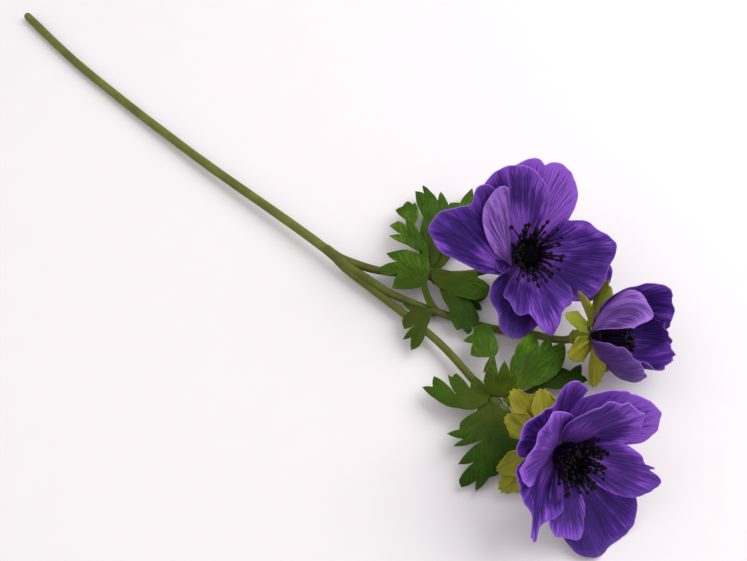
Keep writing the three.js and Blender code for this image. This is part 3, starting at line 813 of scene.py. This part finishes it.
def stamens(name, flower, seed, count, reach, height, lean, bias, tucked=(0, 0), scatter=0.08, head=1.0):
    """Rings of arched filaments with a pinhead anther on each. They reach further towards the azimuth lean,
    by the share bias, and less far between the tucked azimuths."""
    draw = np.random.default_rng(seed)
    parts = []
    for k in range(count):
        azimuth = 360 / count * k + draw.uniform(-4, 4)
        ring = 1 - 0.14 * (k * 2 % 5) / 1.4 + draw.uniform(-scatter, 0.08)  # five rings, taken in turn
        if tucked[0] < azimuth < tucked[1]:
            ring *= TUCK
        far = reach * ring * (1 + bias * math.cos(math.radians(azimuth - lean)))
        high = height + 1.5 - 5 * abs(ring - 0.8) + draw.uniform(-1.5, 1.0)
        root = flower.around(azimuth, HUB_RADIUS - 0.8, 4.6)
        arch = flower.around(azimuth + draw.uniform(-4, 4), mix(HUB_RADIUS, far, 0.35) + 0.6,
                             mix(5.5, high, 0.42))
        line = smooth_line([root, arch, flower.around(azimuth + draw.uniform(-5, 5), far, high)], 6)
        share = np.linspace(0, 1, len(line))
        unit, faces = FILAMENT
        centre = np.stack([np.interp(unit[:, 2], share, line[:, i]) for i in range(3)], -1)
        ahead = unit_vector(line[-1] - line[0])
        level, other = across_of(ahead)
        thick = FILAMENT_RADIUS * mix(1.3, 0.8, unit[:, 2])
        parts.append((centre + along(unit[:, 0] * thick, level) + along(unit[:, 1] * thick, other), faces))
        unit, faces = ANTHER
        size = ANTHER_RADIUS * head * draw.uniform(0.75, 1.1)
        parts.append((line[-1] + size * (along(unit[:, 0], level) + along(unit[:, 1], other)
                                         + along(unit[:, 2], ahead)), faces))
    piece = gathered(name, parts)
    # filaments and anthers take turns in the list
    mark(piece, "anther", np.concatenate([np.full(len(p), float(i % 2)) for i, (p, f) in enumerate(parts)]))
    return piece


def hub(name, flower):
    """The small dark cup that the filaments stand in."""
    profile = [(0, CALYX_TOP + GAP), (1.7, CALYX_TOP + GAP), (2.2, 2.4), (HUB_RADIUS + 1.7, 5.0),
               (HUB_RADIUS + 1.8, HUB_HEIGHT - 0.2), (0, HUB_HEIGHT)]
    piece = turned(name, flower, profile, 24, 20)
    mark(piece, "anther", 0.0)
    return piece


def dome(name, flower, seed):
    """A low dome thick with short bristles."""
    draw = np.random.default_rng(seed)
    parts = []
    unit, faces = BRISTLE
    for k in range(BRISTLES):
        level = 1 - (k + 0.5) / BRISTLES * DOME_SHARE
        turn = SPIRAL_STEP * k
        wide = math.sqrt(1 - level * level)
        direction = unit_vector(flower.outwards(turn) * wide + flower.axis * (level * 1.1))
        direction = direction + draw.uniform(-0.25, 0.25, 3)
        side, other = across_of(direction)
        skin = flower.around(turn, DOME_RADIUS * wide, DOME_BASE + 1.0 + DOME_RISE * level)
        length = draw.uniform(1.2, 2.8)
        cone = BRISTLE_RADIUS * (along(unit[:, 0], side) + along(unit[:, 1], other))
        parts.append((skin - direction * BRISTLE_ROOT + cone + along(unit[:, 2] * length, direction), faces))
    profile = [(radius, DOME_BASE + height) for radius, height in DOME_CORE]
    points, sides = take(turned(name + "_core", flower, profile, 28, 24))
    parts.append(((points - ORIGIN) / MM, sides))
    return gathered(name, parts)


def calyx(name, flower):
    """The green cup under a flower's petals."""
    top, height = CALYX_TOP, CALYX_HEIGHT
    profile = [(0, top - height), (2.1, top - height), (2.3, top - 0.85 * height), (2.9, top - 0.6 * height),
               (4.1, top - 0.3 * height), (CALYX_RADIUS, top - 0.05 * height), (4.6, top), (0, top - 0.3)]
    return turned(name, flower, profile, 48, 28, 0.03, 6)


# ---- Bracts ----
BRACT_HOLE = 2.8
BRACT_BASE = -8.9
BRACT_THICKNESS = 0.45
BRACT_FOOT, BRACT_FLARE = 2.4, 4.3  # half its width at its foot, and how much that grows
HUG_LEAN = 18  # degrees from the flower's axis at which a bract follows the calyx
RUFF_PROFILE = [(1.95, -11.0), (2.5, -10.9), (3.2, -10.0), (4.2, -9.0), (4.2, -8.5), (1.95, -8.6),
                (1.95, -11.0)]


def bract(name, flower, seed, azimuth, reach, opens, twist, hug):
    """One broad strap with a pinked end. It leaves the branch flat, or hugs the calyx for some millimetres,
    and then leans out by its opens degrees."""
    piece, across, up = grid(name, 34, 24)
    across = -across
    draw = np.random.default_rng(seed)
    length = reach - BRACT_HOLE + hug * 0.7
    flare = np.sin(np.pi * smoothstep(hug / length * 0.5, 1.5, up))
    wide = BRACT_FOOT + BRACT_FLARE * flare * draw.uniform(0.9, 1.15)
    teeth = np.abs((across * 2.5 + draw.uniform(0, 1)) % 1 - 0.5) * 2
    end = 1 - 0.22 * np.abs(across) ** 2.4 - 0.045 * teeth
    share = up * mix(1, end, smoothstep(0.55, 1, up))
    steps = np.linspace(0, 1, 200)
    if hug:
        lean = mix(HUG_LEAN, opens, smoothstep(hug * 0.6, hug * 1.3, steps * length))
    else:
        lean = mix(90, opens, np.minimum(1, 2 * steps))
    rises, leaves = travel(np.radians(lean), steps[1] * length)
    twisted = np.radians(twist) * smoothstep(0, 0.35, share)
    angle = np.radians(np.interp(share, steps, lean))
    out = flower.outwards(azimuth)
    side = np.cross(flower.axis, out)
    inward = along(-np.cos(angle), out) + along(np.sin(angle), flower.axis)
    aside = across * wide
    cup = 0.10 * aside ** 2 / 3 + 0.5 * rolling(seed, across * 3 + 5, up * 4) + aside * np.sin(twisted)
    middle = flower.around(np.full(len(up), float(azimuth)), BRACT_HOLE + np.interp(share, steps, leaves),
                           BRACT_BASE + np.interp(share, steps, rises))
    tapered = aside * mix(1, 0.86, smoothstep(0.75, 1, up)) * np.cos(twisted)
    places = middle + along(tapered, side) + inward * cup[:, None]
    put(piece, above_table(places, BRACT_THICKNESS / 2))
    mark(piece, "seed", seed * 1.7)
    thicken(piece, BRACT_THICKNESS, *BRACT)
    return piece


def ruff(name, flower, seed, bracts, hug):
    """The bracts of a flower, joined by a ring round the branch."""
    straps = [bract(f"{name}_{i}", flower, seed + i, *spec, hug) for i, spec in enumerate(bracts)]
    ring = turned(f"{name}_ring", flower, RUFF_PROFILE, 32, 16)
    mark(ring, "seed", float(seed))
    dress(ring, BRACT)
    return joined(name, [*straps, ring])


for number, (flower_name, spec) in enumerate(FLOWERS.items()):
    flower = spec["frame"]
    for k, (petal_name, shape) in enumerate(spec["petals"].items()):
        node = f"{flower_name}_petal_{petal_name}"
        look(petal(f"{node}_cloth", flower, 100 * number + 7 * k + 3, **shape), node, "petal")
    node = f"{flower_name}_stamens"
    crown = stamens(f"{node}_threads", flower, 11 + number, **spec["stamens"])
    look(crown, node, "stamen", STAMEN)
    cup = hub(f"{flower_name}_stamen_cup", flower)
    look(cup, node, "stamen", STAMEN)
    look(dome(f"{flower_name}_centre_dome", flower, 21 + number), f"{flower_name}_centre", "centre", CENTRE)
    look(calyx(f"{flower_name}_calyx_cup", flower), f"{flower_name}_calyx", "stem", STEM)
    bracts = ruff(f"{flower_name}_bract_ruff", flower, 31 + 10 * number, spec["bracts"], spec.get("hug", 0.0))
    look(bracts, f"{flower_name}_bracts", "bract")


# ---- Stems ----
BRANCH_END = CALYX_TOP - CALYX_HEIGHT - GAP
BRANCH_RADII = (2.2, 2.2, 2.0, *[BRANCH_RADIUS] * 6)  # a branch is thicker where it leaves the fork
SPAN_ROWS = 24
MAIN_STEM = [(-279, 0, 2.5), (-225, -4, 2.6), (-160, -4.8, 3.2), (-90, -3.6, 4.6), (-35, -1, 6),
             (0, 0, STEM_TOP)]
# Each branch lists points on its middle line, and which of them its collar sits at.
BRANCHES = {
    "upper": ([(2, 0.3, 6.9), (10.7, 2.4, 6.9), (27, 9.6, 6.6), (46.7, 25.7, 6), (65, 44, 7),
               (72, 57, 10)], 3),
    "small": ([(2, 0, 6.8), (10.7, -0.1, 6.9), (24, 1.0, 7.2), (39.9, 3.2, 6.3), (61.3, 10.8, 5),
               (89, 24.5, 2.4), (106, 35, 3.6)], 4),
    "lower": ([(2, -0.1, 6.5), (10.7, -1.1, 5.9), (46.6, -0.6, 5.2), (76.9, -1.2, 5.8), (117, -9, 9.5)], 4),
}
FORK_PROFILE = [(0, -4), (2.3, -4), (2.62, -3), (2.7, 0), (2.95, 4.5), (2.9, 8), (2.4, 11), (1.4, 13),
                (0, 13.5)]
COLLAR_PROFILE = [(2.0, -3.0), (2.25, -3.0), (2.6, -2.1), (2.9, -0.8), (3.0, 0.8), (2.6, 2.1), (2.25, 3.0),
                  (2.0, 3.0), (2.0, -3.0)]

stem = rod("main_stem_wire", smooth_line(MAIN_STEM, 30), [STEM_RADIUS], 28, 0.03, 1.0)
look(stem, "main_stem", "stem", STEM)
fork = Frame((GAP, 0, STEM_TOP), 0, 0)
look(turned("fork_sleeve", fork, smooth_line(FORK_PROFILE, 6), 40, 40), "fork", "stem", BRANCH)

collars = {}
for flower_name, (points, at) in BRANCHES.items():
    flower = FLOWERS[flower_name]["frame"]
    ends = [flower.around(0, 0, BRANCH_END - 7), flower.around(0, 0, BRANCH_END)]
    line = smooth_line([*points, *ends], SPAN_ROWS)
    branch = rod(f"{flower_name}_branch_wire", line, BRANCH_RADII, 20, 0.03, 0.3)
    look(branch, f"{flower_name}_branch", "stem", BRANCH)
    ahead = unit_vector(line[at * SPAN_ROWS + 1] - line[at * SPAN_ROWS - 1])
    heading, rise = math.degrees(math.atan2(ahead[1], ahead[0])), math.degrees(math.asin(ahead[2]))
    collars[flower_name] = Frame(points[at], heading, rise)
    sleeve = turned(f"{flower_name}_collar_sleeve", collars[flower_name], COLLAR_PROFILE, 32, 28, 0.04, 5)
    look(sleeve, f"{flower_name}_collar", "stem", JOINT)


# ---- Leaves ----
LEAF_THICKNESS = 0.45
LEAF_SEAT = 3.5  # from the middle of a collar to the foot of a leaf
LEAF_GRAIN = 0.9  # distance between the vertices inside a leaf
LEAF_CLEARANCE = 0.35  # the least distance from those to its rim and ribs
CORNER_CUT, EDGE_BULGE = 1.3, 0.06
TIP_TURN = 0.9  # an outline that turns by more than this, in radians, has a tip there

# A leaf is cut flat, in millimetres across and along from its foot. Each cut lists its corners in order round
# it, tips and notches in turn. A stalk lists the points of its middle line up to the blade, and a midrib
# those of a line that runs on up through the cuts. on is the branch that a leaf leaves, where round its
# collar, and how far along it.
# A leaf's tone is partly its own green and partly painted shade: leaves lying in shadow are darker, and lit
# ones are paler.
LEAVES = {
    "whorl_left": dict(on=("lower", 115, -2.5), heading=207, blade=34, opens=(92, 108),
        cuts=[[(2, -0.5), (8, 6), (8.5, 18), (1, 32), (0, 27), (-6, 28), (2, 15), (-7.5, 21.5), (-6.5, 19),
               (-9, 17.5), (-2.5, 9.5), (-9.5, 9), (-2, -0.5)]]),
    "whorl_upright": dict(on=("lower", 60, 0), heading=125, blade=20, opens=(30, 62), tone_and_painted_light=0.2,
        cuts=[[(3, -0.5), (7.5, 7), (5.5, 15.5), (1.5, 11), (-1, 18), (-4.5, 11), (-7, 14.5), (-7.5, 6),
               (-3, -0.5)]]),
    "whorl_down": dict(on=("lower", 150, -1.5), heading=297, blade=43, opens=(88, 114), tone_and_painted_light=-0.25,
        cuts=[[(8, -1.5), (15, 7), (18.5, 18), (17, 25), (13.5, 22), (13.5, 30), (8.5, 34), (4, 41.5),
               (3, 37), (-2.5, 41.5), (-4.5, 38.5), (0, 29.5), (-6.5, 32), (2, 18), (-10.5, 25), (-7, 20.5),
               (-14.5, 20), (-9.5, 16.5), (-10, 13), (-4, 6), (-3, -0.5)]]),
    "whorl_dark": dict(on=("lower", 225, 3), heading=330, blade=25, opens=(96, 102), tone_and_painted_light=-0.45,
        cuts=[[(2.5, -0.5), (9, 8), (13, 15), (8, 16), (8, 24), (2, 22), (-1, 29), (-5, 22), (-9, 23),
               (-7, 15), (-12, 14), (-7, 6), (-2.5, -0.5)]]),
    "whorl_up": dict(on=("lower", 40, 4.5), heading=96, blade=30, opens=(76, 104), tone_and_painted_light=0.25,
        stalk=[(0, 0), (0, 7), (0, 14)],
        cuts=[[(2, 9), (9, 17), (10, 23), (11.5, 30), (9, 39.5), (2.5, 33.5), (2, 43), (-2, 38), (-5.5, 45),
               (-11.5, 31), (-10, 20), (-2, 9)]]),
    "whorl_right": dict(on=("lower", 0, 4.5), heading=72, blade=25, opens=(86, 100), tone_and_painted_light=-0.3,
        stalk=[(0, 0), (0, 12), (-1, 24)],
        cuts=[[(0, 20), (1, 29), (4, 33), (0, 36), (1, 44), (-4, 40), (-8, 41), (-7, 35), (-12, 32),
               (-6, 27), (-2, 20)]]),
    "whorl_back": dict(on=("lower", 45, -3), heading=138, blade=17, opens=(86, 98), tone_and_painted_light=0.1,
        stalk=[(0, 0), (-2, 9), (-2, 16), (-1, 24)],
        cuts=[[(1, 18), (8, 20), (6, 26.5), (10.5, 28), (5, 32), (3, 36.5), (-4, 36), (-5, 30), (-6, 23),
               (-3, 18)],
              [(-1, 18), (3.5, 10.5), (-1, 11), (-3, 12)]]),
    "fan_tall": dict(on=("small", 90, 0), heading=135, blade=51, opens=(80, 95), foot=4, tone_and_painted_light=0.3,
        midrib=[(0, 0), (2.5, 6), (3.5, 13), (2.5, 22), (1.8, 31), (3.5, 39), (8, 48)],
        cuts=[[(4, 11), (20, 11), (16.5, 19), (25, 18), (25, 23), (16.5, 26), (22, 31.5), (11, 33), (1, 29),
               (0, 20)],
              [(2.5, 32), (20, 43), (13, 44), (19.5, 50), (15, 53), (5, 44)],
              [(9, 44), (11, 53), (16, 61), (12, 63), (9, 67), (6.5, 64.5), (5, 66), (3.5, 57), (6, 50),
               (5, 43)]]),
    "fan_hanging": dict(on=("small", 140, -2.5), heading=291, blade=28, opens=(80, 116), tone_and_painted_light=-0.25,
        stalk=[(0, 0), (0, 4)],
        cuts=[[(3, 0), (4, 8), (4, 20), (1, 23.5), (-1.5, 17), (-5, 19.5), (-2, 10), (-6, 14.5), (-9, 10),
               (-7, 3), (-12.5, 0), (-7, -3), (-3, -2), (0, -2)]]),
    "ring_tall": dict(on=("upper", 30, -2), heading=130, blade=54, opens=(86, 94), foot=5, tone_and_painted_light=0.1,
        cuts=[[(2.5, -0.5), (3, 14), (2, 32), (7, 50), (2, 49), (3, 55), (-5.5, 44), (-7, 50), (-12, 40),
               (-13, 31), (-18, 30), (-14, 20), (-7, 8), (-2.5, -0.5)]]),
    "ring_back": dict(on=("upper", 10, 2.5), heading=112, blade=60, opens=(86, 97), tone_and_painted_light=0.25,
        cuts=[[(2.5, -0.5), (4, 15), (9, 27), (5, 32), (6, 44), (1, 46), (-2, 59), (-6, 47), (-10, 49),
               (-8, 35), (-13, 30), (-6, 14), (-2.5, -0.5)]]),
    "ring_bright": dict(on=("upper", 110, 1), heading=31, blade=34, opens=(84, 94), foot=5, tone_and_painted_light=0.2,
        cuts=[[(2.5, -0.5), (2, 12), (5, 22), (1, 24), (-1.5, 30), (-7, 30), (-11.5, 25), (-12, 17),
               (-9, 8), (-2.5, -0.5)]]),
    "ring_hanging": dict(on=("upper", 165, 2), heading=-14, blade=25, opens=(72, 116), sway=-3, tone_and_painted_light=-0.1,
        stalk=[(0, 0), (0, 7), (0, 14)],
        cuts=[[(2, 8), (7, 18), (8, 32), (4, 35.5), (1.5, 31), (2, 35.5), (-1, 36), (-2.5, 32), (-6, 31.5),
               (-4, 20), (-2, 8)]]),
    "ring_dark": dict(on=("upper", 230, 2.5), heading=8, blade=20, opens=(90, 95), tone_and_painted_light=-0.5,
        stalk=[(0, 0), (0, 6), (0, 12)],
        cuts=[[(2, 8), (10, 16), (7, 20), (9, 27), (3, 25), (0, 29), (-3, 24), (-8, 25), (-7, 17),
               (-2, 8)]]),
}


def winding(outline):
    """1 for a closed outline that runs anticlockwise, and -1 for one that runs clockwise."""
    after = np.roll(outline, -1, 0)
    return np.sign((outline[:, 0] * after[:, 1] - after[:, 0] * outline[:, 1]).sum())


def bulged(points):
    """A closed outline with rounded corners, whose edges curve outwards between them."""
    def beside(at, other):
        apart = np.linalg.norm(other - at)
        return at + (other - at) / apart * min(CORNER_CUT, 0.3 * apart) * 0.45

    p = np.array(points, float)
    cut = []
    for before, at, after in zip(np.roll(p, 1, 0), p, np.roll(p, -1, 0)):
        # a corner close to the one before it is blunted a little
        near = np.linalg.norm(before - at) < 4
        blunt = at * 0.93 + (before + after) * 0.035 if near else at
        cut += [beside(at, before), blunt, beside(at, after)]
    p, outline = np.array(cut), []
    side = winding(p)
    for a, b in zip(p, np.roll(p, -1, 0)):
        edge = b - a
        out = np.array([edge[1], -edge[0]]) * side
        for t in np.linspace(0, 1, max(3, int(np.linalg.norm(edge) / 0.8)), endpoint=False):
            outline.append(a + edge * t + out * EDGE_BULGE * 4 * t * (1 - t))
    return np.array(outline)


def strip(points, widths):
    """A smooth line, and the outline of a strip along it with half widths spaced evenly from end to end."""
    line = smooth_line(points, 10)
    slope = np.gradient(line, axis=0)
    slope /= np.linalg.norm(slope, axis=1)[:, None]
    aside = np.stack([-slope[:, 1], slope[:, 0]], -1)
    wide = np.interp(np.linspace(0, 1, len(line)), np.linspace(0, 1, len(widths)), widths)[:, None]
    return line, np.vstack([line + aside * wide, (line - aside * wide)[::-1]])


def leaf_ribs(cut):
    """A rib from the foot of a cut to each of its tips, bowed a little towards its middle."""
    p = np.array(cut, float)
    foot = (p[0] + p[-1]) / 2
    middle = unit_vector(p.mean(0) - foot)
    before, after = p - np.roll(p, 1, 0), np.roll(p, -1, 0) - p
    cross = (before[:, 0] * after[:, 1] - before[:, 1] * after[:, 0]) * winding(p)
    turn = np.arctan2(cross, (before * after).sum(1))
    ribs = []
    for k in range(1, len(p) - 1):
        if turn[k] > TIP_TURN:
            far = p[k] - foot
            bow = foot + middle * np.linalg.norm(far) * 0.45
            t = np.linspace(0, 0.93, 20)[:, None]
            ribs.append((1 - t) ** 2 * foot + 2 * t * (1 - t) * bow + t * t * p[k])
    return ribs


def nearest(points, others):
    """How far each point is from the nearest of the others."""
    best = np.full(len(points), 1e9)
    for start in range(0, len(others), 64):
        apart = points[:, None, :] - others[None, start:start + 64, :]
        best = np.minimum(best, np.sqrt((apart**2).sum(-1)).min(1))
    return best


def trimmed_mesh(outlines, lines):
    """Triangles that fill the union of flat outlines, with vertices along the lines too."""
    edge = np.vstack(outlines)
    low, high = edge.min(0), edge.max(0)
    columns = np.arange(low[0], high[0], LEAF_GRAIN)
    rows = np.arange(low[1], high[1], LEAF_GRAIN * 0.87)
    inside = np.vstack([np.c_[columns + LEAF_GRAIN / 2 * (i % 2), np.full(len(columns), y)]
                        for i, y in enumerate(rows)])
    clear = (nearest(inside, edge) > LEAF_CLEARANCE) & (nearest(inside, lines) > LEAF_CLEARANCE)
    inside = inside[clear]
    flat = np.vstack([edge, lines, inside])
    faces, count = [], 0
    for outline in outlines:
        faces.append(list(range(count, count + len(outline))))
        count += len(outline)
    made = delaunay_2d_cdt([Vector(p) for p in flat], [], faces, 1, 1e-4)
    flat, triangles = np.array([list(v) for v in made[0]]), [list(f) for f in made[2]]
    used = sorted({i for f in triangles for i in f})
    new = {old: k for k, old in enumerate(used)}
    return flat[used], [[new[i] for i in f] for f in triangles]


def leaf(name, seed, on, heading, blade, opens, cuts, stalk=None, midrib=None, foot=4, sway=0, tone_and_painted_light=0.0):
    """A leaf is the union of its cuts and its stalk or midrib, bent over its middle line."""
    outlines = [bulged(cut) for cut in cuts]
    ribs = [rib for cut in cuts for rib in leaf_ribs(cut)]
    if stalk or midrib:
        line, outline = strip(stalk or midrib, (foot / 2, foot * 0.34, foot * 0.4))
        outlines.append(outline)
        ribs.append(line)
    spine = np.vstack(ribs)
    flat, triangles = trimmed_mesh(outlines, spine)
    sides = {}
    for f in triangles:
        for a, b in zip(f, f[1:] + f[:1]):
            sides[frozenset((a, b))] = sides.get(frozenset((a, b)), 0) + 1
    rim = sorted({i for side, n in sides.items() if n == 1 for i in side})
    rib_gap, rim_gap = nearest(flat, spine), nearest(flat, flat[rim])
    branch, turn, shift = on
    start = collars[branch].around(turn, LEAF_SEAT, shift)
    h = math.radians(heading)
    out = np.array([math.cos(h), math.sin(h), 0])
    length = stalk[-1][1] + blade if stalk else blade
    bend = Bend(start, np.array([0, 0, 1.0]), out, length, blade, opens, sway=sway)
    reach = np.hypot(*flat.T)
    groove = -0.5 * np.exp(-((rib_gap / 0.8) ** 2)) * smoothstep(0, 2.5, rim_gap)
    ripple = rolling(seed, flat[:, 0] / 6 + 8, flat[:, 1] / 6 + 3) * smoothstep(2, 14, reach)
    curl = -0.35 * np.exp(-((rim_gap / 1.5) ** 2)) * smoothstep(4, 14, reach)
    places = bend(flat[:, 0], flat[:, 1], groove + ripple + curl)
    places = above_table(places, LEAF_THICKNESS / 2)
    piece = meshed(name, places, triangles)
    in_edit(piece, lambda: bpy.ops.mesh.normals_make_consistent(inside=False))
    mark(piece, "rib", rib_gap)
    mark(piece, "edge", rim_gap)
    mark(piece, "reach", reach)
    mark(piece, "ray", np.arctan2(flat[:, 0], flat[:, 1] + 3))
    # the tone: the leaf's own green, with painted shade for leaves in shadow
    mark(piece, "tone_and_painted_light", tone_and_painted_light)
    if sum(p.normal.z for p in piece.data.polygons) < 0:
        in_edit(piece, lambda: bpy.ops.mesh.flip_normals())
    thicken(piece, LEAF_THICKNESS, *LEAF)
    return piece


for k, (leaf_name, spec) in enumerate(LEAVES.items()):
    piece = leaf(f"leaf_{leaf_name}_cut", k + 1, **spec)
    look(piece, f"leaf_{leaf_name}", "leaf")


# ---- Table and light ----
def table_material():
    """A matt off-white."""
    sh = Shader("table")
    grain = sh.noise(sh.object_place(), 60.0, 3.0)
    colour = sh.blend(grain, (0.775, 0.75, 0.76), (0.795, 0.77, 0.78))
    return sh.finish(colour, 0.7, grain, 0.05, 0.0002, specular=0.2)


bpy.ops.object.select_all(action="DESELECT")
bpy.ops.mesh.primitive_plane_add(size=12, location=(0, 0, -0.0002))
table = bpy.context.object
table.name = "table_top"
table.data.materials.append(table_material())

area_light("window", (0.52, 0.92, 1.15), 1.4, 20.5, (1.0, 0.99, 1.0))
area_light("fill", (-0.5, -0.9, 1.2), 1.6, 6, (1.0, 0.97, 0.97))
world = bpy.data.worlds.new("studio")
world.use_nodes = True
world.node_tree.nodes["Background"].inputs[0].default_value = (1.0, 0.975, 0.985, 1)
world.node_tree.nodes["Background"].inputs[1].default_value = 0.63
bpy.context.scene.world = world
bpy.context.scene.view_settings.view_transform = "Standard"
